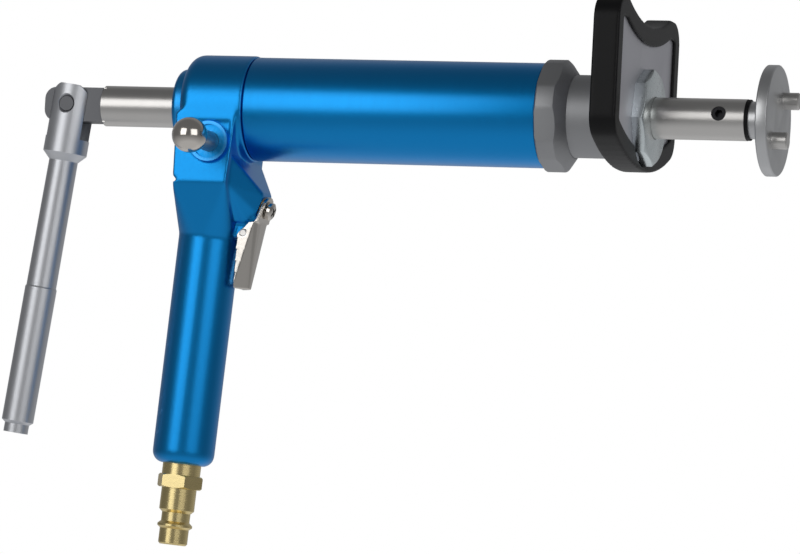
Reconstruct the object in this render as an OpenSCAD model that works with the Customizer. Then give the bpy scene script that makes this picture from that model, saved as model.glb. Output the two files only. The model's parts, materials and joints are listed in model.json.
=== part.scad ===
// Air-powered wind-back tool for brake caliper pistons.
// A pistol-shaped air cylinder pushes a spindle forward while a folding crank turns it.
// +X runs forward along the spindle, +Z is up, and -Y is the side with the vent knob.
// The origin is the centre of the adapter disc's front face.

/* [Adapter] */
// Diameter of the adapter disc
disc_d = 37.2; // [30:0.1:50]
// Thickness of the adapter disc
disc_t = 4; // [3:0.1:8]
// Diameter of the circle through the two drive pins
pin_circle = 21; // [14:0.1:24]
// Diameter of each drive pin
pin_d = 5.8; // [3:0.1:7]
// Length of each drive pin in front of the disc
pin_out = 5.2; // [3:0.1:10]
// Diameter of the hub behind the disc
hub_d = 12.6; // [11:0.1:16]
// Length of the hub
hub_len = 5.4; // [4:0.1:12]

/* [Spindle] */
// Diameter of the spindle's rod
rod_d = 14; // [11:0.1:17]
// Length of rod showing in front of the clamp nut
rod_out = 32.8; // [28:0.1:60]
// Length of rod showing behind the rear cap
shaft_out = 27.7; // [27:0.1:60]
// Stroke of the piston to each side of mid-stroke
stroke = 26; // [10:0.5:26.5]

/* [Reaction plate] */
// Width of the reaction plate over its guard
plate_w = 83; // [66:0.5:100]
// Height of the plate's horns above the spindle axis
horn_z = 36.6; // [28:0.1:46]
// Depth of the plate's foot below the spindle axis
foot_z = 18; // [17.8:0.1:24]
// Radius of the saddle between the horns
saddle_r = 72; // [60:1:110]
// Depth of the saddle below the horns
saddle_depth = 5.7; // [3:0.1:9]
// Thickness of the metal plate
plate_t = 7; // [4:0.1:10]
// How far the guard stands proud of each face of the plate
guard_proud = 1; // [0.5:0.1:2]
// Width of the guard's lip on each face
guard_lip = 6.5; // [4:0.1:9]
// Radius of the guard's outer corners
guard_corner = 8; // [4:0.1:10]
// Radius of the plate's foot
foot_r = 92; // [80:1:140]
// Thickness of the clamp nut
nut_t = 4.3; // [3:0.1:8]
// Width of the eight-sided clamp nut over its corners
nut_d = 32.6; // [30:0.1:40]

/* [Cylinder] */
// Diameter of the nose sleeve
sleeve_d = 28; // [26:0.1:34]
// Length of the nose sleeve behind the plate
sleeve_len = 16.2; // [10:0.1:40]
// How far the gland's flats stand proud of the barrel
gland_flat_proud = 0.25; // [0.2:0.05:2]
// How far the gland's turned corners stand proud of the barrel
gland_corner_proud = 1.2; // [1:0.05:3]
// Length of the gland's hexagon
gland_len = 6.5; // [4:0.1:14]
// Length of the gland's front cone
cone_len = 3.4; // [2:0.1:5]
// Outer diameter of the barrel
barrel_d = 35.5; // [30:0.1:43]
// Wall of the barrel
barrel_wall = 3.25; // [2.4:0.05:4]
// Length of the barrel
barrel_len = 103.2; // [96:0.1:140]

/* [Housing] */
// Length of the housing's head along the spindle
head_len = 23.2; // [22.5:0.1:30]
// How far the head stands proud of the barrel
head_proud = 0.45; // [0.2:0.05:2]
// Depth of the flat-sided block below the spindle axis
block_drop = 27; // [26:0.1:32]
// Length of the blend from the block to the round grip
blend_len = 17; // [14:0.1:24]
// Diameter of the grip
grip_d = 21.2; // [19:0.1:26]
// Length of the grip below the spindle axis, along its own axis
grip_len = 123; // [95:0.5:150]
// Rearward lean of the grip
grip_lean = 4; // [0:0.5:8]
// Length of the rear cap behind the head
cap_t = 4; // [3:0.1:8]

/* [Vent valve] */
// Diameter of the ball knob
ball_d = 12; // [9:0.1:15]
// Distance of the ball's centre from the side of the head
ball_out = 20.3; // [18.5:0.1:30]
// Diameter of the vent spool
spool_d = 7; // [5.8:0.1:7.4]
// Travel of the vent spool
spool_travel = 6; // [2:0.1:6.5]
// Diameter of the spool gland's flange
boss_d = 13.7; // [12.5:0.1:15]

/* [Crank] */
// Height of the spindle's flat tang
tang_h = 11.8; // [10:0.1:13]
// Thickness of the tang
tang_t = 8.5; // [6:0.1:9]
// Distance of the crank's pivot behind the tang's shoulder
pivot_back = 12.4; // [11.5:0.1:16]
// Diameter of the crank's forked head
fork_d = 15.2; // [14:0.1:18]
// Length of the crank from its pivot to its plain end
crank_len = 115; // [95:0.5:150]
// Diameter of the crank's arm
arm_d = 10.2; // [8:0.1:11]
// Diameter of the knurled handgrip
knurl_d = 11; // [9:0.1:14]
// Length of the knurled handgrip
knurl_len = 46.6; // [30:0.1:60]
// Diameter of the crank's pivot pin
crank_pin_d = 5; // [4:0.1:6]
// Rearward lean of the crank at rest
crank_lean = 7.2; // [7:0.1:20]

/* [Trigger] */
// Angle of the trigger's upper leaf from upright
leaf_tilt = 16.5; // [10:0.5:20]
// Thickness of the trigger's sheet metal
sheet = 1.2; // [0.8:0.05:1.6]
// Width of the trigger's upper leaf
leaf_w = 13.4; // [12:0.1:16]
// Diameter of the trigger screw's head
screw_d = 6.2; // [5:0.1:7.5]
// Diameter of the trigger's pivot pin
hinge_d = 2; // [1.5:0.1:2.5]

/* [Air nipple] */
// Diameter of the nipple's pipe thread
thread_d = 13.16; // [11:0.01:14]
// Width of the nipple's hexagon over its flats
nipple_flats = 14; // [13:0.1:17]
// Length of the nipple below the grip
nipple_out = 27.6; // [24:0.1:40]
// Diameter of the nipple's plug-in tip
tip_d = 10; // [8:0.05:11]

/* [Hidden] */
$fn = 64;

// Clearances, in millimetres on the radius
snug = 0.02;
running = 0.05;
over = 1;

// Stations along the spindle, from the front to the rear
x_hub = -disc_t;
x_rod = x_hub - hub_len;
x_nut = x_rod - rod_out;
x_plate = x_nut - nut_t;
x_plate_rear = x_plate - plate_t;
x_cone = x_plate_rear - sleeve_len;
x_gland = x_cone - cone_len;
x_barrel = x_gland - gland_len;
x_seam = x_barrel - barrel_len;
x_head = x_seam - head_len;
x_cap = x_head - cap_t;
x_shoulder = x_cap - shaft_out;
x_pivot = x_shoulder - pivot_back;

// Rod, barrel and gland
rod_r = rod_d / 2;
barrel_r = barrel_d / 2;
bore_r = barrel_r - barrel_wall;
spigot_r = (barrel_r + bore_r) / 2 + 0.5;
spigot_len = 6;
gland_spigot = 14;
seal_t = 3;
seal_r = rod_r + 2.25;
bush_r = rod_r + 1.75;
ring_t = 1.9;
ring_depth = 1.3;
ring_inset = 3;
gland_flats = barrel_d + 2 * gland_flat_proud;
gland_r = barrel_r + gland_corner_proud;

// Piston and its thrust bearings, which hold the spindle's collar
piston_len = 26;
piston_rear = x_seam - spigot_len + stroke + over;
piston_front = piston_rear + piston_len;
piston_r = bore_r - running;
piston_skin = 3.4;
rod_ring_r = rod_r + 1.4;
rod_ring_x = [piston_rear + 2, piston_front - 4];
cavity_r = piston_r - piston_skin;
cover_t = 7;
collar_t = 4;
race_t = 1.2;
ball_bearing_d = 1.5;
ball_gap = ball_bearing_d + 2 * running;
bearing_len = race_t + ball_gap + race_t;
cavity_len = collar_t + 2 * bearing_len;
collar_r = cavity_r - 0.6;
cavity_rear = piston_front - cover_t - cavity_len;
piston_ring_x = [piston_rear + ring_inset, piston_front - ring_inset];
collar_front = piston_front - cover_t - bearing_len;
race_mid_r = (rod_r + running + cavity_r) / 2;
bearing_balls = 14;

// Adapter shank and its set screw
shank_r = 4;
shank_len = 16;
shank_ring_t = 1.1;
pin_in = 3.4;
pin_root_r = pin_d / 2 - 0.5;
set_screw_x = x_rod - 9.7;
set_screw_r = 2.5;
set_screw_top = sqrt(pow(rod_r, 2) - pow(set_screw_r, 2)) - 0.15;
set_screw_turn = 12;

// Reaction plate's slot in its guard, and the nose sleeve's clamped neck
slot_depth = 3;
nut_lip = 1;
nut_turn = 5;
x_neck = x_nut - nut_lip - 0.1;
neck_r = sleeve_d / 2 - 2;
nose_bush_len = 12;
sleeve_tail = 13;
sleeve_tail_r = sleeve_d / 2 - 3;

// Head, block and grip
head_r = barrel_r + head_proud;
head_round = 4.5;
cap_r = head_r - 5;
cap_spigot_r = cap_r - 2.7;
cap_spigot_len = 3;
seal_x = x_head + cap_spigot_len;
bush_x = seal_x + seal_t;
bush_len = 6.5;
grip_r = grip_d / 2;
grip_x = x_head + 11.6;
grip_air_r = 4;
grip_air_top = 47;

// Vent valve, just below the rear bush
spool_r = spool_d / 2;
spool_x = x_head + 12.6;
spool_z = -(rod_r + 2.65 + spool_r);
seat_depth = 0.4;
gland_screw_r = 5.5;
gland_screw_len = 5.5;
plug_len = 5;
spool_end_gap = 1.2;
spool_in = head_r - plug_len - spool_travel - spool_end_gap;
spool_core_r = 2.4;
spool_head = -head_r - ball_out + ball_d / 2 - 0.3;
vent_ring_y = [-9, -2, 3.5];

// Crank
fork_r = fork_d / 2;
fork_top = 6.9;
fork_slot_bottom = 11.7;
fork_len = 16.9;
fork_cone = 2.7;
end_d = 8.5;
end_len = 3.1;
pin_play = 0.05;

// Air valve and trigger: w runs out of the housing along the stem, v runs down the leaf
stem_x = x_seam + 5.6;
stem_z = -34.8;
lug_w = -1.6;
lug_width = 9.4;
hinge_w = -3.9;
hinge_v = 9.7;
stem_r = 1.8;
guide_in = 7.5;
guide_r = 4;
poppet_r = 3.1;
seat_in = 15.2;
seat_t = 1.6;
seal_disc_t = 0.8;
poppet_t = 1.7;
valve_end = 22;
screw_gap = 0.5;
screw_head_t = 1.7;
screw_r = 1.5;
leaf_hole_r = 2.3;
function leaf_point(w, v) = [
    stem_x + w * cos(leaf_tilt) - v * sin(leaf_tilt),
    stem_z - w * sin(leaf_tilt) - v * cos(leaf_tilt)
];
inlet_chamber = leaf_point(-10.5, 0);
hinge = leaf_point(hinge_w, hinge_v);
hinge_x = hinge[0];
hinge_z = hinge[1];
leaf_top_v = -4.6;
leaf_top_r = 5;
knee_v = 9.5;
toe_z = hinge_z - 19;
toe_depth = 4.8;
toe_gap = 2.6;
toe_front = leaf_point(0, knee_v)[0] - 2;

// Air nipple
thread_in = 9;
thread_show = 3.6;
nipple_hex = 4.6;
filter_len = 11;

// ---- Placing helpers ----

// Turns children drawn along +Z to run forward along the spindle axis from x
module forward(x) {
    translate([x, 0, 0]) rotate([0, 90, 0]) children();
}

// Solid round bar along the spindle axis
module bar(x0, x1, r) {
    forward(x0) cylinder(h = x1 - x0, r = r);
}

// Round tube along the spindle axis
module tube(x0, x1, r, hole) {
    difference() {
        bar(x0, x1, r);
        bar(x0 - over, x1 + over, hole);
    }
}

// Solid turned from [radius, x] points about the spindle axis
module turned(points) {
    rotate([0, 90, 0]) rotate_extrude() polygon(points);
}

// Places children with +Z running down the grip's axis from the spindle axis
module down_grip(along = 0) {
    translate([grip_x, 0, 0]) rotate([0, 180 + grip_lean, 0]) translate([0, 0, along]) children();
}

// Places children with +Z running out along the air valve's stem
module along_stem(w = 0) {
    translate([stem_x, 0, stem_z]) rotate([0, 90 + leaf_tilt, 0]) translate([0, 0, w]) children();
}

// Places children with +Z running to +Y through the vent valve's bore
module along_spool(y) {
    translate([spool_x, y, spool_z]) rotate([-90, 0, 0]) children();
}

// Places children at the crank's pivot, with -Z running down the leaning crank
module at_crank() {
    translate([x_pivot, 0, 0]) rotate([0, crank_lean, 0]) children();
}

// Straight drilled gallery between two points in the plane y = 0
module gallery(from, to, r) {
    run = to - from;
    translate([from[0], 0, from[1]]) rotate([0, atan2(run[0], run[1]), 0]) cylinder(h = norm(run), r = r);
}

// Extrudes an outline drawn in X and Z, centred on y = 0
module slab(width) {
    translate([0, width / 2, 0]) rotate([90, 0, 0]) linear_extrude(width) children();
}

// Flat ring drawn along +Z
module ring(r, hole, t) {
    difference() {
        cylinder(h = t, r = r);
        translate([0, 0, -over]) cylinder(h = t + 2 * over, r = hole);
    }
}

// ---- Cylinder, fixed pieces ----

// Front edge of the block, leaning with the grip, at height z
function block_front(z) = x_seam - 1.3 + z * tan(grip_lean + 1.7);

module head_body() {
    turned([
        [0, x_head], [head_r - head_round, x_head],
        for (a = [10 : 10 : 80]) [head_r - head_round * (1 - sin(a)), x_head + head_round * (1 - cos(a))],
        [head_r, x_head + head_round], [head_r, x_seam], [0, x_seam]
    ]);
    slab(2 * head_r) polygon([
        [x_head, -head_r * 0.2], [x_head, -block_drop + 2], [x_head + 2, -block_drop],
        [block_front(-block_drop), -block_drop], [block_front(0), 0], [x_head + head_round, 0]
    ]);
}

module block_to_grip() {
    hull() {
        translate([x_head, -head_r, -block_drop])
            cube([block_front(-block_drop) - x_head, 2 * head_r, 0.1]);
        down_grip(block_drop + blend_len) cylinder(h = 1, r = grip_r - 0.15, $fn = 48);
    }
}

module grip_body() {
    grip_round = 4;
    down_grip() rotate_extrude() polygon([
        [0, block_drop], [grip_r, block_drop], [grip_r, grip_len - grip_round],
        for (a = [15 : 15 : 75]) [grip_r - grip_round * (1 - cos(a)), grip_len - grip_round * (1 - sin(a))],
        [grip_r - grip_round, grip_len], [0, grip_len]
    ]);
}

// Lug that carries the trigger's pivot and the air valve's guide
module trigger_lug() {
    tip_r = 2.2;
    slab(lug_width) polygon([
        [block_front(-20) - over, -20], [block_front(-20.5), -20.5],
        leaf_point(lug_w - 0.6, leaf_top_v - 1), leaf_point(lug_w, leaf_top_v),
        leaf_point(lug_w, hinge_v), leaf_point(lug_w - 0.7, hinge_v + 1.6),
        leaf_point(hinge_w, hinge_v + tip_r), leaf_point(hinge_w - 3, hinge_v + tip_r),
        [hinge_x - 7, hinge_z], [x_seam - 12, -block_drop]
    ]);
    hull() {
        slab(lug_width) polygon([
            leaf_point(lug_w - 0.6, leaf_top_v - 1), leaf_point(lug_w, leaf_top_v),
            leaf_point(lug_w, 2), leaf_point(hinge_w, hinge_v - 3)
        ]);
        slab(2 * head_r - 3) polygon([
            [block_front(-17) - 0.5, -17], [block_front(-17) - 2, -17],
            [block_front(-block_drop) - 2, -block_drop], [block_front(-block_drop) - 0.5, -block_drop]
        ]);
        slab(2 * grip_r - 6) polygon([
            [block_front(-36) - 2, -36], [block_front(-36) - 4, -36], [block_front(-36) - 4, -38]
        ]);
    }
}

module housing() {
    color("dodgerblue") difference() {
        union() {
            head_body();
            block_to_grip();
            grip_body();
            trigger_lug();
        }
        bar(x_seam - spigot_len, x_seam + over, spigot_r + snug);
        bar(x_head - over, x_seam, rod_r + 2 * running);
        bar(x_head - over, x_head + cap_spigot_len, cap_spigot_r + snug);
        bar(x_head, seal_x + seal_t, seal_r + snug);
        bar(x_head, bush_x + bush_len, bush_r + snug);
        along_spool(-head_r - over) cylinder(h = 2 * head_r + 2 * over, r = spool_r + running);
        along_spool(-head_r - over) cylinder(h = gland_screw_len + over, r = gland_screw_r + snug);
        along_spool(head_r - plug_len) cylinder(h = plug_len + over, r = gland_screw_r + snug);
        boss_seat();
        along_stem(-guide_in) cylinder(h = guide_in + 2 * over, r = guide_r + snug);
        along_stem(-valve_end) cylinder(h = valve_end, r = guide_r + snug);
        gallery([spool_x, spool_z], [x_seam - spigot_len + over, spool_z], 1.3);
        gallery([spool_x - 2.6, stem_z + 6], [spool_x - 2.6, spool_z], 1.2);
        gallery([grip_x - grip_air_top * sin(grip_lean), -grip_air_top], inlet_chamber, 1.4);
        down_grip(grip_air_top) cylinder(h = grip_len, r = grip_air_r);
        down_grip(grip_len - thread_in) cylinder(h = thread_in + over, r = thread_d / 2 + snug);
        translate([hinge_x, lug_width, hinge_z]) rotate([90, 0, 0])
            cylinder(h = 2 * lug_width, r = hinge_d / 2 + snug);
    }
}

// Shallow milled seat on the near side of the block for the spool gland's flange
module boss_seat() {
    seat_r = boss_d / 2 + 0.4;
    along_spool(-head_r - over) cylinder(h = over + seat_depth, r = seat_r);
    translate([spool_x - seat_r, -head_r - over, spool_z])
        cube([2 * seat_r, over + seat_depth, seat_r]);
}

module rear_cap() {
    dome = 2;
    color("dodgerblue") difference() {
        turned([
            [rod_r + 3 * running, x_cap], [cap_r - dome, x_cap],
            for (a = [15 : 15 : 75]) [cap_r - dome * (1 - sin(a)), x_cap + dome * (1 - cos(a))],
            [cap_r, x_cap + dome], [cap_r, x_head],
            [cap_spigot_r, x_head], [cap_spigot_r, seal_x], [rod_r + 3 * running, seal_x]
        ]);
    }
}

module rear_rod_seal() {
    color("dimgray") tube(seal_x + snug, seal_x + seal_t - snug, seal_r, rod_r + running);
}

module rear_bush() {
    color("peru") tube(bush_x, bush_x + bush_len - snug, bush_r, rod_r + running);
}

module barrel() {
    bevel = 0.5;
    color("dodgerblue") difference() {
        union() {
            turned([
                [0, x_seam], [barrel_r - bevel, x_seam], [barrel_r, x_seam + bevel],
                [barrel_r, x_barrel - bevel], [barrel_r - bevel, x_barrel], [0, x_barrel]
            ]);
            bar(x_seam - spigot_len + snug, x_seam, spigot_r);
        }
        bar(x_seam - spigot_len - over, x_barrel + over, bore_r);
        groove(x_seam - spigot_len / 2, spigot_r, ring_t);
    }
}

// Ring groove cut into the outside of a bar of radius r, centred on x
module groove(x, r, width) {
    tube(x - width / 2, x + width / 2, r + over, r - ring_depth);
}

module barrel_o_rings() {
    color("dimgray") {
        o_ring(x_seam - spigot_len / 2, spigot_r);
        o_ring(x_barrel - gland_spigot + ring_inset, bore_r - snug);
    }
}

// Sealing ring that fills a groove in a bar of radius r
module o_ring(x, r) {
    tube(x - ring_t / 2 + snug, x + ring_t / 2 - snug, r, r - ring_depth + snug);
}

module front_gland() {
    bevel = 0.5;
    color("silver") difference() {
        union() {
            intersection() {
                turned([
                    [0, x_barrel], [gland_r - bevel, x_barrel], [gland_r, x_barrel + bevel],
                    [gland_r, x_gland], [sleeve_d / 2 + 0.3, x_cone], [0, x_cone]
                ]);
                forward(x_barrel) rotate([0, 0, 15])
                    cylinder(h = gland_len + cone_len, r = gland_flats / 2 / cos(30), $fn = 6);
            }
            bar(x_barrel - gland_spigot, x_barrel, bore_r - snug);
        }
        bar(x_barrel - gland_spigot - over, x_cone + over, rod_r + 2 * running);
        bar(x_cone - sleeve_tail, x_cone + over, sleeve_tail_r + snug);
        bar(x_barrel - gland_spigot - over, x_barrel - gland_spigot + seal_t, seal_r + snug);
        groove(x_barrel - gland_spigot + ring_inset, bore_r - snug, ring_t);
    }
}

module front_rod_seal() {
    x = x_barrel - gland_spigot;
    color("dimgray") tube(x + snug, x + seal_t - snug, seal_r, rod_r + running);
}

module nose_sleeve() {
    color("silver") difference() {
        union() {
            bar(x_cone, x_plate_rear, sleeve_d / 2);
            bar(x_cone - sleeve_tail + snug, x_cone, sleeve_tail_r);
            bar(x_plate_rear, x_neck, neck_r);
        }
        bar(x_cone - sleeve_tail - over, x_nut + over, rod_r + 3 * running);
        bar(x_neck - nose_bush_len, x_neck + over, bush_r + snug);
    }
}

module nose_bush() {
    color("peru") tube(x_neck - nose_bush_len + snug, x_neck - snug, bush_r, rod_r + running);
}

// ---- Reaction plate ----

// Shield with a saddle between two horns and a foot in one arc, drawn in Y and Z
module shield() {
    saddle_corner = 2;
    saddle_z = horn_z - saddle_depth + saddle_r;
    offset(r = saddle_corner) offset(r = -saddle_corner) difference() {
        offset(r = guard_corner) offset(r = -guard_corner) intersection() {
            translate([-plate_w / 2, -foot_z]) square([plate_w, foot_z + horn_z]);
            translate([0, foot_r - foot_z]) circle(r = foot_r, $fn = 128);
        }
        translate([0, saddle_z]) circle(r = saddle_r, $fn = 160);
    }
}

// Extrudes a Y-Z outline forward from x
module face_slab(x, t) {
    translate([x, 0, 0]) rotate([90, 0, 90]) linear_extrude(t) children();
}

module reaction_plate() {
    color("lightgray") difference() {
        face_slab(x_plate_rear, plate_t) offset(r = -slot_depth - snug) shield();
        bar(x_plate_rear - over, x_plate + over, neck_r + snug);
    }
}

module plate_guard() {
    color([0.12, 0.12, 0.13]) difference() {
        face_slab(x_plate_rear - guard_proud, plate_t + 2 * guard_proud) shield();
        face_slab(x_plate_rear - snug, plate_t + 2 * snug) offset(r = -slot_depth) shield();
        face_slab(x_plate_rear - guard_proud - over, plate_t + 2 * guard_proud + 2 * over)
            offset(r = -guard_lip) shield();
        bar(x_plate, x_nut, nut_d / 2 + 0.4);
        bar(x_cone, x_plate_rear, sleeve_d / 2 + 0.4);
    }
}

module clamp_nut() {
    bevel = 0.9;
    slope = 1.8;
    color("silver") difference() {
        intersection() {
            rotate([nut_turn, 0, 0]) forward(x_plate) cylinder(h = nut_t, r = nut_d / 2, $fn = 8);
            turned([
                [0, x_plate], [nut_d / 2 + over, x_plate], [nut_d / 2 + over, x_nut - bevel - over / slope],
                [nut_d / 2 - slope * bevel, x_nut], [0, x_nut]
            ]);
        }
        bar(x_plate - over, x_nut - nut_lip, neck_r + snug);
        bar(x_plate - over, x_nut + over, rod_r + 3 * running);
    }
}

// ---- Piston ----

module piston() {
    color("gainsboro") difference() {
        bar(piston_rear, piston_front, piston_r);
        bar(piston_rear - over, piston_front, rod_r + running);
        bar(cavity_rear, piston_front + over, cavity_r + snug);
        bar(rod_ring_x[0], rod_ring_x[0] + ring_t, rod_ring_r + snug);
        for (x = piston_ring_x) groove(x, piston_r, ring_t);
    }
}

module piston_cover() {
    color("gainsboro") difference() {
        bar(piston_front - cover_t, piston_front, cavity_r);
        bar(piston_front - cover_t - over, piston_front + over, rod_r + running);
        bar(rod_ring_x[1], rod_ring_x[1] + ring_t, rod_ring_r + snug);
    }
}

module piston_seals() {
    color("dimgray") for (x = piston_ring_x) o_ring(x, piston_r);
}

module spindle_o_rings() {
    color("dimgray") for (x = rod_ring_x)
        tube(x + snug, x + ring_t - snug, rod_ring_r, rod_r + running);
}

// Hardened washers on each side of the spindle's collar
module piston_races() {
    color("slategray") {
        tube(cavity_rear + snug, cavity_rear + race_t - snug, cavity_r - snug, rod_r + 4 * running);
        tube(collar_front + bearing_len - race_t + snug, collar_front + bearing_len - snug,
            cavity_r - snug, rod_r + 4 * running);
    }
}

module spindle_races() {
    color("slategray") {
        tube(collar_front - collar_t - race_t + snug, collar_front - collar_t - snug,
            cavity_r - 0.4, rod_r + snug);
        tube(collar_front + snug, collar_front + race_t - snug, cavity_r - 0.4, rod_r + snug);
    }
}

module thrust_balls() {
    color("white")
        for (x = [cavity_rear + race_t + ball_gap / 2, collar_front + race_t + ball_gap / 2])
            for (i = [0 : bearing_balls - 1])
                rotate([i * 360 / bearing_balls, 0, 0]) translate([x, 0, race_mid_r])
                    sphere(d = ball_bearing_d, $fn = 16);
}

// ---- Spindle and adapter ----

module spindle() {
    tang_len = pivot_back + tang_h / 2 + 3;
    tang_round = 4;
    x_end = x_shoulder - tang_len;
    color("gainsboro") difference() {
        union() {
            bar(x_shoulder, x_rod - shank_ring_t, rod_r);
            bar(collar_front - collar_t, collar_front, collar_r);
            slab(tang_t) polygon([
                [x_shoulder + over, tang_h / 2],
                for (a = [0 : 15 : 90])
                    [x_end + tang_round * (1 - sin(a)), tang_h / 2 - tang_round * (1 - cos(a))],
                for (a = [90 : -15 : 0])
                    [x_end + tang_round * (1 - sin(a)), -tang_h / 2 + tang_round * (1 - cos(a))],
                [x_shoulder + over, -tang_h / 2]
            ]);
        }
        bar(x_rod - shank_len, x_rod + over, shank_r + snug);
        rotate([-set_screw_turn, 0, 0]) translate([set_screw_x, 0, 0]) rotate([90, 0, 0])
            cylinder(h = rod_d, r = set_screw_r + snug);
        translate([x_pivot, tang_t, 0]) rotate([90, 0, 0])
            cylinder(h = 2 * tang_t, r = crank_pin_d / 2 + pin_play);
    }
}

module adapter() {
    bevel = 0.4;
    color("silver") difference() {
        turned([
            [0, x_rod - shank_len + 1], [shank_r, x_rod - shank_len + 1], [shank_r, x_rod],
            [hub_d / 2, x_rod], [hub_d / 2, x_hub], [disc_d / 2 - bevel, x_hub],
            [disc_d / 2, x_hub + bevel], [disc_d / 2, -bevel], [disc_d / 2 - bevel, 0], [0, 0]
        ]);
        at_pins() forward(-pin_in) cylinder(h = pin_in + over, r = pin_root_r);
        rotate([-set_screw_turn, 0, 0]) translate([set_screw_x, -shank_r + 0.8, 0]) rotate([90, 0, 0])
            cylinder(h = shank_r, r = set_screw_r + 0.2);
    }
}

// The two drive pins stand on one diagonal of the disc
module at_pins() {
    for (side = [-1, 1]) translate([0, side * pin_circle / 2 * sin(45), side * pin_circle / 2 * cos(45)])
        children();
}

module adapter_pins() {
    bevel = 0.4;
    color("gainsboro") at_pins() turned([
        [0, -pin_in + snug], [pin_root_r, -pin_in + snug], [pin_root_r, 0], [pin_d / 2, 0],
        [pin_d / 2, pin_out - bevel], [pin_d / 2 - bevel, pin_out], [0, pin_out]
    ]);
}

module adapter_set_screw() {
    color("dimgray") rotate([-set_screw_turn, 0, 0]) translate([set_screw_x, 0, 0]) rotate([90, 0, 0])
        difference() {
            translate([0, 0, shank_r - 0.7]) cylinder(h = set_screw_top - shank_r + 0.7, r = set_screw_r);
            translate([0, 0, shank_r + 0.5]) cylinder(h = rod_r, r = 1.25 / cos(30), $fn = 6);
        }
}

module shank_ring() {
    color([0.1, 0.1, 0.1]) tube(x_rod - shank_ring_t + snug, x_rod - snug, rod_r - 0.1, shank_r + snug);
}

// ---- Crank ----

module crank_handle() {
    knurl_top = crank_len - end_len - 1 - knurl_len;
    color("silver") at_crank() difference() {
        union() {
            rotate([0, 180, 0]) rotate_extrude() polygon([
                [0, 0], [fork_r, 0], [fork_r, fork_len], [arm_d / 2 - 0.1, fork_len + fork_cone],
                [arm_d / 2 + 0.1, knurl_top - 0.5], [knurl_d / 2, knurl_top],
                [knurl_d / 2, knurl_top + knurl_len], [end_d / 2, knurl_top + knurl_len + 1],
                [end_d / 2, crank_len], [0, crank_len]
            ]);
            intersection() {
                cylinder(h = 2 * fork_top, r = fork_r, center = true);
                rotate([90, 0, 0]) cylinder(h = fork_d, r = fork_r, center = true);
            }
        }
        slab(tang_t + 0.3) polygon([
            [-fork_d, fork_d], [fork_d, fork_d],
            [fork_d, -fork_slot_bottom], [-fork_d, -fork_slot_bottom]
        ]);
        rotate([90, 0, 0]) cylinder(h = 2 * fork_d, r = crank_pin_d / 2 + snug, center = true);
        for (side = [-1, 1]) rotate([side * 90, 0, 0]) translate([0, 0, fork_r - 1.2])
            cylinder(h = 1.3, r1 = crank_pin_d / 2, r2 = crank_pin_d / 2 + 1);
    }
}

module crank_pin() {
    color("gray") at_crank() rotate([90, 0, 0])
        cylinder(h = fork_d - 1.4, r = crank_pin_d / 2, center = true);
}

// ---- Trigger and air valve ----

// Boat-shaped lower half of the trigger; inset makes the hollow inside it
module trigger_keel(inset) {
    knee = leaf_point(0, knee_v);
    brow = leaf_point(0, knee_v - 5);
    hull() {
        keel_section(brow[0] - inset, brow[1], 6 - inset, 6.2 - inset, 3.2);
        keel_section(knee[0] - inset, knee[1], 5.2 - inset, 6.2 - inset, 6.2);
        keel_section(toe_front - inset, toe_z + inset, 1.8 - inset * 0.6, 5.2 - inset, toe_depth);
    }
}

// Thin cross-section in X and Y with a narrow nose and a wide rear
module keel_section(x, z, nose, rear, depth) {
    translate([x - depth, 0, z]) linear_extrude(0.1) polygon([
        [0, -rear], [depth - 1.2, -nose - 0.5], [depth - 0.3, -nose * 0.8], [depth, -nose * 0.4],
        [depth, nose * 0.4], [depth - 0.3, nose * 0.8], [depth - 1.2, nose + 0.5], [0, rear]
    ]);
}

module trigger() {
    color("lightslategray") difference() {
        union() {
            along_stem(-sheet) linear_extrude(sheet) hull() {
                translate([leaf_top_v + leaf_top_r, 0]) circle(r = leaf_top_r, $fn = 32);
                translate([knee_v - 5.2, 0]) square([0.4, leaf_w - 1], center = true);
            }
            trigger_keel(0);
        }
        difference() {
            trigger_keel(sheet);
            translate([stem_x, 0, stem_z + 8]) cube([20, 20, 2 * (knee_v + 3)], center = true);
        }
        slab(lug_width + 0.6) polygon([
            leaf_point(-sheet, leaf_top_v), leaf_point(-sheet, knee_v + 4),
            leaf_point(-12, knee_v + 4), leaf_point(-12, leaf_top_v)
        ]);
        translate([toe_front - toe_depth - 8 - sheet, -10, toe_z - 1]) cube([8, 20, 16]);
        down_grip() cylinder(h = grip_len, r = grip_r + toe_gap);
        along_stem(-3) cylinder(h = 6, r = leaf_hole_r);
        translate([hinge_x, leaf_w, hinge_z]) rotate([90, 0, 0])
            cylinder(h = 2 * leaf_w, r = hinge_d / 2 + running);
    }
}

module trigger_pin() {
    color("gray") translate([hinge_x, lug_width / 2 + 1.2, hinge_z]) rotate([90, 0, 0])
        cylinder(h = lug_width + 2.4, r = hinge_d / 2);
}

module valve_stem() {
    poppet_rear = -seat_in + snug + seal_disc_t + running;
    color("khaki") difference() {
        union() {
            along_stem(poppet_rear) cylinder(h = poppet_t, r = poppet_r);
            along_stem(poppet_rear) cylinder(h = -poppet_rear - 2.3, r = stem_r);
        }
        along_stem(-7) cylinder(h = 7, r = screw_r * 0.8 + snug);
    }
}

module valve_seal() {
    color("dimgray") along_stem(-seat_in + running) cylinder(h = seal_disc_t, r = poppet_r - 0.1);
}

module valve_seat() {
    color("khaki") along_stem(-seat_in - seat_t) ring(guide_r, 2, seat_t);
}

module valve_guide() {
    color("khaki") along_stem(-guide_in) ring(guide_r, stem_r + running, guide_in + lug_w - 0.3);
}

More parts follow.
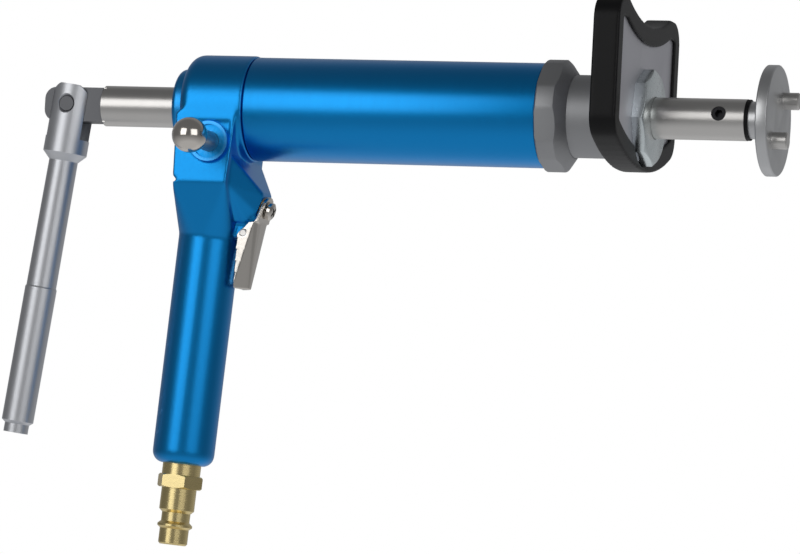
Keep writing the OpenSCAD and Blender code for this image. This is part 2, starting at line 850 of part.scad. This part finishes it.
// Round wire wound as a helix between the poppet and the valve guide
module valve_spring() {
    wire_r = 0.25;
    coil_r = 2.6;
    turns = 4;
    steps = 16;
    sides = 6;
    start = -seat_in + seal_disc_t + poppet_t + 0.5;
    length = -guide_in - start - 0.3;
    rings = turns * steps;
    points = [
        for (i = [0 : rings]) let (a = i * 360 / steps, h = start + length * i / rings)
            for (s = [0 : sides - 1]) let (b = s * 360 / sides, r = coil_r + wire_r * cos(b))
                [r * cos(a), r * sin(a), h + wire_r * sin(b)]
    ];
    walls = [
        for (i = [0 : rings - 1]) for (s = [0 : sides - 1]) let (n = (s + 1) % sides)
            [i * sides + s, i * sides + n, (i + 1) * sides + n, (i + 1) * sides + s]
    ];
    first = [for (s = [sides - 1 : -1 : 0]) s];
    last = [for (s = [0 : sides - 1]) rings * sides + s];
    color("silver") along_stem() polyhedron(points, concat(walls, [first, last]), convexity = 8);
}

module trigger_screw() {
    color("silver") along_stem() difference() {
        union() {
            translate([0, 0, -6.5]) cylinder(h = 2.5, r = screw_r * 0.8);
            translate([0, 0, -2.3 + snug]) cylinder(h = 2.3 + screw_gap, r = screw_r);
            translate([0, 0, -4.1]) cylinder(h = 4, r = screw_r * 0.8);
            translate([0, 0, screw_gap]) cylinder(h = screw_head_t - 0.6, r = screw_d / 2);
            translate([0, 0, screw_gap + screw_head_t - 0.6])
                cylinder(h = 0.6, r1 = screw_d / 2, r2 = screw_d / 2 - 0.9);
        }
        for (turn = [45, 135]) rotate([0, 0, turn])
            translate([-1.9, -0.4, screw_gap + 0.6]) cube([3.8, 0.8, screw_head_t]);
    }
}

// ---- Vent valve ----

module vent_spool() {
    color("gainsboro") difference() {
        union() {
            along_spool(-head_r - ball_out) cylinder(h = head_r + ball_out + spool_in, r = spool_core_r);
            along_spool(spool_head) cylinder(h = -spool_head + spool_in, r = spool_r);
        }
        for (y = vent_ring_y) along_spool(y - ring_t / 2) ring(spool_r + over, spool_core_r, ring_t);
        along_spool(-7) ring(spool_r + over, spool_core_r, 3.6);
    }
}

module vent_knob() {
    color("silver") difference() {
        along_spool(-head_r - ball_out) sphere(d = ball_d, $fn = 64);
        along_spool(-head_r - ball_out - snug) cylinder(h = ball_d, r = spool_core_r + snug);
        along_spool(spool_head - snug) cylinder(h = ball_d, r = spool_r + snug);
    }
}

module vent_o_rings() {
    color("dimgray") for (y = vent_ring_y)
        along_spool(y - ring_t / 2 + snug) ring(spool_r, spool_core_r + snug, ring_t - 2 * snug);
}

module spool_gland() {
    flange_t = 1.9;
    color("dodgerblue") difference() {
        union() {
            along_spool(-head_r + seat_depth - flange_t) cylinder(h = flange_t - snug, r = boss_d / 2);
            along_spool(-head_r + seat_depth - snug)
                cylinder(h = gland_screw_len - seat_depth, r = gland_screw_r);
        }
        along_spool(-head_r - flange_t - over) cylinder(h = 2 * gland_screw_len, r = spool_r + running);
        along_spool(-head_r - flange_t - over) cylinder(h = over + seat_depth + 1, r = boss_d / 2 - 1.1);
    }
}

module exhaust_plug() {
    color("peru") difference() {
        along_spool(head_r - plug_len + snug) cylinder(h = plug_len - 0.5, r = gland_screw_r);
        translate([spool_x - 6, head_r - 1.6, spool_z - 0.6]) cube([12, 2, 1.2]);
        for (i = [0 : 5]) along_spool(head_r - plug_len - over)
            rotate([0, 0, i * 60 + 30]) translate([3.2, 0, 0]) cylinder(h = plug_len + 2 * over, r = 0.7);
    }
}

// ---- Air supply ----

module air_nipple() {
    body_r = 6;
    hex_end = thread_show + nipple_hex;
    collar_z = nipple_out - 6.6;
    color("goldenrod") down_grip(grip_len) difference() {
        union() {
            translate([0, 0, thread_show]) intersection() {
                cylinder(h = nipple_hex, r = nipple_flats / 2 / cos(30), $fn = 6);
                rotate_extrude() polygon([
                    [0, 0], [nipple_flats / 2, 0], [nipple_flats / 2 + 1.1, 0.6],
                    [nipple_flats / 2 + 1.1, nipple_hex - 0.6], [nipple_flats / 2, nipple_hex], [0, nipple_hex]
                ]);
            }
            rotate_extrude() polygon([
                [0, -thread_in], [thread_d / 2, -thread_in], [thread_d / 2, thread_show],
                [body_r, thread_show], [body_r, nipple_out - 12], [4.9, nipple_out - 11],
                [4.9, collar_z - 1.4], [body_r, collar_z - 0.4], [body_r, collar_z + 0.3],
                [tip_d / 2, collar_z + 1.1], [tip_d / 2, nipple_out - 0.6],
                [tip_d / 2 - 0.6, nipple_out], [0, nipple_out]
            ]);
        }
        translate([0, 0, -thread_in - over]) cylinder(h = nipple_out + thread_in + 2 * over, r = 2.6);
        translate([0, 0, nipple_out - 6]) cylinder(h = 6 + over, r = 3.6);
    }
}

module inlet_filter() {
    color("peru") down_grip(grip_len - thread_in - filter_len - snug) difference() {
        cylinder(h = filter_len, r1 = grip_air_r - 1.2, r2 = grip_air_r - snug);
        translate([0, 0, 2]) cylinder(h = filter_len, r1 = 1.2, r2 = grip_air_r - 1.3);
    }
}

housing();
rear_cap();
rear_rod_seal();
rear_bush();
barrel();
barrel_o_rings();
front_gland();
front_rod_seal();
nose_sleeve();
nose_bush();
reaction_plate();
plate_guard();
clamp_nut();
piston();
piston_cover();
piston_seals();
spindle_o_rings();
piston_races();
spindle();
spindle_races();
thrust_balls();
adapter();
adapter_pins();
adapter_set_screw();
shank_ring();
crank_handle();
crank_pin();
trigger();
trigger_pin();
valve_stem();
valve_seal();
valve_spring();
trigger_screw();
valve_guide();
valve_seat();
vent_spool();
vent_knob();
vent_o_rings();
spool_gland();
exhaust_plug();
air_nipple();
inlet_filter();
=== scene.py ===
"""Looks of an air-powered wind-back tool for brake caliper pistons.

+X runs forward along the spindle, +Z is up, and -Y is the side with the vent knob.
"""
import json
import math

import bpy
from mathutils import Matrix, Vector


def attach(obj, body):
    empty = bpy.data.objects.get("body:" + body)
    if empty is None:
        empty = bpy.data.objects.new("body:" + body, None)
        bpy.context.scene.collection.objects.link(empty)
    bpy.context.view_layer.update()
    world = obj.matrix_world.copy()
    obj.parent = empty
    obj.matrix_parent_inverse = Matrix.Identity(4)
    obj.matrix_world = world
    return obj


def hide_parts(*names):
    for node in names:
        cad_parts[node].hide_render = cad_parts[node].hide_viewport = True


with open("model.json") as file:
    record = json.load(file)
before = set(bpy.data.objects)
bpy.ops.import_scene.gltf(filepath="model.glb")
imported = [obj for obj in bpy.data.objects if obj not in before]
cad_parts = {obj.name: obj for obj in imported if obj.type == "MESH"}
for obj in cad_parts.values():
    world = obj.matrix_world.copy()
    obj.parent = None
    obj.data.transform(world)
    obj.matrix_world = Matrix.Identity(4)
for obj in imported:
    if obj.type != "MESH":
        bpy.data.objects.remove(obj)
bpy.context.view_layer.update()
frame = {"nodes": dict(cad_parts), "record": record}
NODES = frame["nodes"]
BODY_OF = {node: body for body, nodes in frame["record"]["behaviour"]["bodies"].items() for node in nodes}
MM = 0.001
# Darker steel painted on as shade: the milled tang's dim reflection and the crank pin's recessed end.
PAINTED_SHADE_STEEL = "#6f7073"
DULL_ROUGHNESS = 0.5
MERGE_DISTANCE = 0.002 * MM
FLAT_WITHIN = math.radians(0.5)  # faces closer than this to one plane are joined before a bevel
SMOOTH_WITHIN = math.radians(30)
BACKDROP_RADIUS = 8.0
FLOOR_LEVEL = -0.32
ROD_SHOULDER = -237.6 * MM  # where the spindle's flat tang begins


# ---------------------------------------------------------------- materials


def srgb(code, alpha=1.0):
    """A #rrggbb colour as the linear values that the shader expects."""
    parts = [int(code[i:i + 2], 16) / 255 for i in (1, 3, 5)]
    linear = [c / 12.92 if c <= 0.04045 else ((c + 0.055) / 1.055) ** 2.4 for c in parts]
    return (*linear, alpha)


def set_socket(tree, socket, value):
    """Links a socket to another node's output, or gives it a plain value."""
    if isinstance(value, bpy.types.NodeSocket):
        tree.links.new(value, socket)
    else:
        socket.default_value = value


def add(tree, kind, inputs=None, **settings):
    """Adds one shader node; inputs maps sockets to values or to other nodes' outputs."""
    made = tree.nodes.new("ShaderNode" + kind)
    for name, value in settings.items():
        setattr(made, name, value)
    for name, value in (inputs or {}).items():
        set_socket(tree, made.inputs[name], value)
    return made


def per_metre(size_mm):
    """Texture scale at which one feature measures size_mm."""
    return 1000.0 / size_mm


def new_material(name):
    """An empty node material with its shader and output in place."""
    made = bpy.data.materials.new(name)
    made.use_nodes = True
    tree = made.node_tree
    tree.nodes.clear()
    shader = add(tree, "BsdfPrincipled")
    output = add(tree, "OutputMaterial")
    tree.links.new(shader.outputs[0], output.inputs[0])
    return made, tree, shader


def feed(tree, shader, **sockets):
    """Sets or links the shader's sockets; underscores stand for spaces."""
    for name, value in sockets.items():
        set_socket(tree, shader.inputs[name.replace("_", " ")], value)


def spread(tree, value, low, high):
    """Maps a 0 to 1 value to low to high."""
    return add(tree, "MapRange", {0: value, 3: low, 4: high}).outputs[0]


def painted_edge_highlight(tree):
    """Mask of convex edges, where a paler colour is painted on as a highlight; 1 on an edge and 0 elsewhere.
    """
    sharp = add(tree, "NewGeometry").outputs["Pointiness"]
    return add(tree, "MapRange", {0: sharp, 1: 0.52, 2: 0.6, 3: 0.0, 4: 1.0}).outputs[0]


def blasted_metal(name, color, dark, roughness, grain_mm=0.35, coat=0.0, bump=0.12, wear=0.1, edge_highlight_color=None):
    """Bead-blasted metal: an even, fine grain that breaks up the highlight, and faint mottling."""
    made, tree, shader = new_material(name)
    place = add(tree, "TexCoord").outputs["Object"]
    grain = add(tree, "TexNoise", {"Vector": place, "Scale": per_metre(grain_mm), "Detail": 2.0})
    cloud = add(tree, "TexNoise", {"Vector": place, "Scale": per_metre(9), "Detail": 3.0})
    tint = add(tree, "Mix", {0: spread(tree, cloud.outputs[0], 0.0, wear), 6: srgb(color), 7: srgb(dark)},
               data_type="RGBA").outputs[2]
    # Convex edges get a paler colour painted on as a highlight.
    if edge_highlight_color:
        tint = add(tree, "Mix", {0: painted_edge_highlight(tree), 6: tint, 7: srgb(edge_highlight_color)}, data_type="RGBA").outputs[2]
    relief = add(tree, "Bump", {"Strength": bump, "Distance": 0.00004, "Height": grain.outputs[0]})
    feed(tree, shader, Base_Color=tint, Metallic=1.0,
         Roughness=spread(tree, grain.outputs[0], roughness - 0.05, roughness + 0.07),
         Normal=relief.outputs[0])
    shader.inputs["Coat Weight"].default_value = coat
    shader.inputs["Coat Roughness"].default_value = 0.3
    return made


def turned_metal(name, color, dark, roughness, stretch, line_mm=0.3, bump=0.1, coat=0.0, dull_shaded_behind=None):
    """Lathe-turned or ground metal: fine lines round the axis, drawn coarse enough to show.

    Behind a given plane X it is left rougher, and darkened with painted shade for the flat's dim reflection.
    """
    made, tree, shader = new_material(name)
    place = add(tree, "TexCoord").outputs["Object"]
    along = add(tree, "Mapping", {"Vector": place, "Scale": stretch})
    lines = add(tree, "TexNoise", {"Vector": along.outputs[0], "Scale": per_metre(line_mm), "Detail": 2.0})
    cloud = add(tree, "TexNoise", {"Vector": place, "Scale": per_metre(12), "Detail": 3.0})
    tint = add(tree, "Mix", {0: spread(tree, cloud.outputs[0], 0.0, 0.25), 6: srgb(color), 7: srgb(dark)},
               data_type="RGBA").outputs[2]
    sheen = spread(tree, lines.outputs[0], roughness - 0.04, roughness + 0.06)
    if dull_shaded_behind is not None:
        forward = add(tree, "SeparateXYZ", {0: place}).outputs[0]
        # Behind the shoulder the tint is darkened as painted shade, and the roughness is raised.
        milled_and_shaded = add(tree, "Math", {0: forward, 1: dull_shaded_behind}, operation="LESS_THAN").outputs[0]
        tint = add(tree, "Mix", {0: milled_and_shaded, 6: tint, 7: srgb(PAINTED_SHADE_STEEL)}, data_type="RGBA").outputs[2]
        sheen = add(tree, "Mix", {0: milled_and_shaded, 2: sheen, 3: DULL_ROUGHNESS}).outputs[0]
    relief = add(tree, "Bump", {"Strength": bump, "Distance": 0.00003, "Height": lines.outputs[0]})
    feed(tree, shader, Base_Color=tint, Metallic=1.0, Roughness=sheen, Normal=relief.outputs[0])
    shader.inputs["Coat Weight"].default_value = coat
    shader.inputs["Coat Roughness"].default_value = 0.25
    return made


def moulded_rubber(name, color, roughness):
    """Moulded rubber: spark-eroded mould grain, with a soft low sheen."""
    made, tree, shader = new_material(name)
    place = add(tree, "TexCoord").outputs["Object"]
    grain = add(tree, "TexNoise", {"Vector": place, "Scale": per_metre(0.5), "Detail": 3.0})
    cloud = add(tree, "TexNoise", {"Vector": place, "Scale": per_metre(15), "Detail": 2.0})
    tint = add(tree, "Mix", {0: spread(tree, cloud.outputs[0], 0.0, 0.3), 6: srgb(color), 7: srgb("#1c1c1e")},
               data_type="RGBA")
    relief = add(tree, "Bump", {"Strength": 0.2, "Distance": 0.00006, "Height": grain.outputs[0]})
    feed(tree, shader, Base_Color=tint.outputs[2],
         Roughness=spread(tree, grain.outputs[0], roughness - 0.06, roughness + 0.08),
         Normal=relief.outputs[0])
    shader.inputs["Specular IOR Level"].default_value = 0.2
    return made


# Turned lines run round the spindle, or round an upright part such as the crank or the air plug.
ROUND_X = (1.0, 0.03, 0.03)
ROUND_Z = (0.03, 0.03, 1.0)

# Blue anodising: a soft satin highlight under a thin clear layer, with a paler colour painted on the
# castings' edges as a highlight.
BLUE = blasted_metal("blue_anodised_blasted", "#0090dc", "#0083cc", 0.34, 0.4, coat=0.3, edge_highlight_color="#3fa5ee")
BLUE_TURNED = turned_metal("blue_anodised_turned", "#0090dc", "#0083cc", 0.33, ROUND_X, 0.35, coat=0.3)
# Bare greys: an even, frosty surface with a broad highlight.
GREY_BLASTED = blasted_metal("blasted_aluminium", "#a5a6a8", "#97979a", 0.52, 0.35)
PLATE_GREY = blasted_metal("blasted_steel_plate", "#d2d2d8", "#c4c4ca", 0.5, 0.4)
# Steels and chromes: long streaks of light along the rods, and a dull flat where the tang is milled, darkened
# with painted shade.
ROD_STEEL = turned_metal("ground_rod_steel", "#cfcdca", "#b5b3b0", 0.3, ROUND_X, 0.25, 0.06,
                         dull_shaded_behind=ROD_SHOULDER)
# Crank pin: dull steel whose darkness is painted shade for the pin's recessed end.
SHADED_PIN_STEEL = turned_metal("dull_shaded_pin_steel", PAINTED_SHADE_STEEL, "#66676a", 0.5, (1.0, 1.0, 1.0), 0.3, 0.1)
DISC_STEEL = turned_metal("turned_disc_steel", "#c9cacb", "#b5b6b8", 0.36, (1.0, 0.05, 0.05), 0.3, 0.1)
ZINC = blasted_metal("bright_zinc_plate", "#dbe3e5", "#c0c9cb", 0.28, 1.2, bump=0.06)
SATIN_CHROME = turned_metal("satin_chrome", "#d6d8dc", "#c4c6ca", 0.4, ROUND_Z, 0.3, 0.08)
CHROME = blasted_metal("bright_chrome", "#d8d3cc", "#b9b3ab", 0.13, 1.5, bump=0.03)
# Yellow and brown metals: bright turned brass, and dark open-pored bronze.
BRASS = turned_metal("turned_brass", "#efdba0", "#d8bf7c", 0.26, ROUND_Z, 0.3, 0.1)
BRONZE = blasted_metal("sintered_bronze", "#b27a3c", "#7d5122", 0.5, 0.4, bump=0.5)
# Dark and black finishes, and the bearing steel inside.
BEARING_STEEL = turned_metal("bearing_steel", "#b0b0b4", "#8e8e94", 0.2, ROUND_X, 0.3, 0.05)
BLACK_OXIDE = blasted_metal("black_oxide_steel", "#2e2e30", "#1c1c1e", 0.35, 0.4)
RUBBER = moulded_rubber("moulded_black_rubber", "#09090a", 0.42)
SEAL_RUBBER = moulded_rubber("seal_rubber", "#08080a", 0.5)

FINISH = {
    BLUE: ["housing", "rear_cap", "spool_gland"],
    BLUE_TURNED: ["barrel"],
    GREY_BLASTED: ["front_gland", "nose_sleeve", "piston", "piston_cover"],
    PLATE_GREY: ["reaction_plate"],
    ROD_STEEL: ["spindle", "adapter_pins", "trigger_pin", "vent_spool"],
    SHADED_PIN_STEEL: ["crank_pin"],
    DISC_STEEL: ["adapter"],
    ZINC: ["clamp_nut"],
    SATIN_CHROME: ["crank_handle"],
    CHROME: ["trigger", "vent_knob", "trigger_screw"],
    BRASS: ["air_nipple", "valve_guide", "valve_seat", "valve_stem"],
    BRONZE: ["rear_bush", "nose_bush", "exhaust_plug", "inlet_filter"],
    BEARING_STEEL: ["piston_races", "spindle_races", "thrust_balls", "valve_spring"],
    BLACK_OXIDE: ["adapter_set_screw"],
    RUBBER: ["plate_guard"],
    SEAL_RUBBER: ["rear_rod_seal", "front_rod_seal", "barrel_o_rings", "piston_seals", "spindle_o_rings",
                  "valve_seal", "vent_o_rings", "shank_ring"],
}
FINISH_OF = {node: finish for finish, nodes in FINISH.items() for node in nodes}


def dress(piece, finish):
    """Gives a piece one material."""
    piece.data.materials.clear()
    piece.data.materials.append(finish)


for finish, names in FINISH.items():
    for node_name in names:
        dress(NODES[node_name], finish)


# ---------------------------------------------------------------- mesh helpers


def deselect():
    """Leaves nothing selected."""
    bpy.ops.object.select_all(action="DESELECT")


def activate(piece):
    """Makes a piece the only selected one, and the active one."""
    deselect()
    piece.select_set(True)
    bpy.context.view_layer.objects.active = piece


def apply_modifier(piece, kind, **settings):
    """Adds a modifier and applies it at once."""
    activate(piece)
    modifier = piece.modifiers.new(kind.lower(), kind)
    for name, value in settings.items():
        setattr(modifier, name, value)
    bpy.ops.object.modifier_apply(modifier=modifier.name)


def cleaned_copy(node, name):
    """A copy of a node's mesh with its loose triangles merged into one surface."""
    piece = bpy.data.objects.new(name, NODES[node].data.copy())
    bpy.context.scene.collection.objects.link(piece)
    activate(piece)
    bpy.ops.object.mode_set(mode="EDIT")
    bpy.ops.mesh.select_all(action="SELECT")
    bpy.ops.mesh.remove_doubles(threshold=MERGE_DISTANCE)
    bpy.ops.object.mode_set(mode="OBJECT")
    bpy.ops.mesh.customdata_custom_splitnormals_clear()
    return piece


def stand_for(piece, node):
    """Lets a finished piece take a node's place, body and finish."""
    dress(piece, FINISH_OF[node])
    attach(piece, BODY_OF[node])
    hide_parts(node)


def softened(node, voxel_mm, passes):
    """A node with all its edges rounded, as blasting or moulding leaves them."""
    piece = cleaned_copy(node, node + "_rounded")
    apply_modifier(piece, "REMESH", mode="VOXEL", voxel_size=voxel_mm * MM, use_smooth_shade=True)
    apply_modifier(piece, "SMOOTH", factor=0.5, iterations=passes)
    activate(piece)
    bpy.ops.object.shade_smooth()
    return piece


def bevelled(node, width_mm, angle=35, segments=2):
    """A node with its sharp edges broken by a small chamfer that catches the light."""
    piece = cleaned_copy(node, node + "_chamfered")
    apply_modifier(piece, "DECIMATE", decimate_type="DISSOLVE", angle_limit=FLAT_WITHIN)
    apply_modifier(piece, "BEVEL", width=width_mm * MM, segments=segments, limit_method="ANGLE",
                   angle_limit=math.radians(angle), use_clamp_overlap=True, harden_normals=False)
    activate(piece)
    bpy.ops.object.shade_smooth_by_angle(angle=SMOOTH_WITHIN)
    return piece


# ---------------------------------------------------------------- pieces


def make_rounded_pieces():
    """Blasted, moulded and pressed pieces have no sharp edge anywhere."""
    for node, voxel_mm, passes in (("housing", 0.42, 12), ("plate_guard", 0.4, 16), ("trigger", 0.22, 5)):
        stand_for(softened(node, voxel_mm, passes), node)


def make_chamfered_pieces():
    """Turned and milled pieces have their edges broken by a small chamfer."""
    for node, width_mm in (("front_gland", 0.3), ("clamp_nut", 0.3), ("adapter", 0.25), ("barrel", 0.2),
                           ("reaction_plate", 0.3)):
        stand_for(bevelled(node, width_mm), node)


make_rounded_pieces()
make_chamfered_pieces()


# ---------------------------------------------------------------- studio


def aim(thing, target):
    """Turns a camera or light so that it looks at a point."""
    away = thing.location - Vector(target)
    thing.rotation_euler = away.to_track_quat("Z", "Y").to_euler()


def around(centre, azimuth, elevation, distance):
    """A point at a bearing from a centre; azimuth 0 is on the -Y side."""
    a, e = math.radians(azimuth), math.radians(elevation)
    bearing = Vector((math.sin(a) * math.cos(e), -math.cos(a) * math.cos(e), math.sin(e)))
    return Vector(centre) + distance * bearing


def make_camera():
    """Long lens, from a little below the barrel and round towards its front."""
    target = Vector((-0.1287, 0.0, -0.056))
    data = bpy.data.cameras.new("camera")
    data.lens = 239
    data.sensor_width = 36
    data.clip_end = 50
    camera = bpy.data.objects.new("camera", data)
    bpy.context.scene.collection.objects.link(camera)
    camera.location = around(target, 17.0, -4.0, 1.8)
    aim(camera, target)
    roll = Matrix.Rotation(math.radians(3.03), 4, "Z")
    camera.matrix_world = Matrix.LocRotScale(camera.location, camera.rotation_euler, None) @ roll
    bpy.context.scene.camera = camera


def softbox(name, azimuth, elevation, distance, width, height, watts):
    """Large square light that faces the tool."""
    data = bpy.data.lights.new(name, "AREA")
    data.shape = "RECTANGLE"
    data.size = width
    data.size_y = height
    data.energy = watts
    light = bpy.data.objects.new(name, data)
    bpy.context.scene.collection.objects.link(light)
    centre = (-0.13, 0, -0.03)
    light.location = around(centre, azimuth, elevation, distance)
    aim(light, centre)


def glowing(name, color, strength):
    """Plain light-box surface for the floor and the backdrop."""
    made = bpy.data.materials.new(name)
    made.use_nodes = True
    tree = made.node_tree
    tree.nodes.clear()
    glow = add(tree, "Emission", {"Color": srgb(color), "Strength": strength})
    output = add(tree, "OutputMaterial")
    tree.links.new(glow.outputs[0], output.inputs[0])
    return made


def set_backdrop(name, finish):
    """Makes the selected surface one that only the camera sees, and keeps it out of the model."""
    surface = bpy.context.object
    surface.name = name
    dress(surface, finish)
    surface.visible_diffuse = False
    surface.visible_glossy = False
    surface.visible_shadow = False


def make_stage():
    """White backdrop all round and a white floor below the tool."""
    deselect()
    bpy.ops.mesh.primitive_uv_sphere_add(segments=48, ring_count=24, radius=BACKDROP_RADIUS,
                                         location=(0, 0, 0))
    set_backdrop("backdrop", glowing("white_backdrop", "#ffffff", 1.0))
    deselect()
    bpy.ops.mesh.primitive_circle_add(vertices=96, radius=BACKDROP_RADIUS - 0.1, fill_type="NGON",
                                      location=(0, 0, FLOOR_LEVEL))
    set_backdrop("floor", glowing("pale_floor", "#ffffff", 1.0))


def make_world():
    """Dim room: pale floor glow from below, and more light from behind than from in front."""
    world = bpy.data.worlds.new("studio")
    bpy.context.scene.world = world
    world.use_nodes = True
    tree = world.node_tree
    tree.nodes.clear()
    way = add(tree, "TexCoord").outputs["Generated"]
    parts = add(tree, "SeparateXYZ", {0: way})
    floor_glow = add(tree, "MapRange", {0: parts.outputs[2], 1: -0.05, 2: -0.75, 3: 0.0, 4: 0.42}).outputs[0]
    rim = add(tree, "MapRange", {0: parts.outputs[1], 1: 0.25, 2: 0.95, 3: 0.17, 4: 0.38}).outputs[0]
    total = add(tree, "Math", {0: floor_glow, 1: rim}, operation="ADD").outputs[0]
    sky = add(tree, "Background", {"Color": srgb("#f4f5f7"), "Strength": total})
    output = add(tree, "OutputWorld")
    tree.links.new(sky.outputs[0], output.inputs[0])


make_camera()
make_stage()
make_world()
softbox("left_softbox", -25, 15, 1.5, 0.95, 1.0, 5.2)
softbox("right_softbox", 46, 15, 1.5, 1.1, 1.0, 4.9)
bpy.context.scene.view_settings.view_transform = "Standard"
bpy.context.scene.view_settings.look = "None"
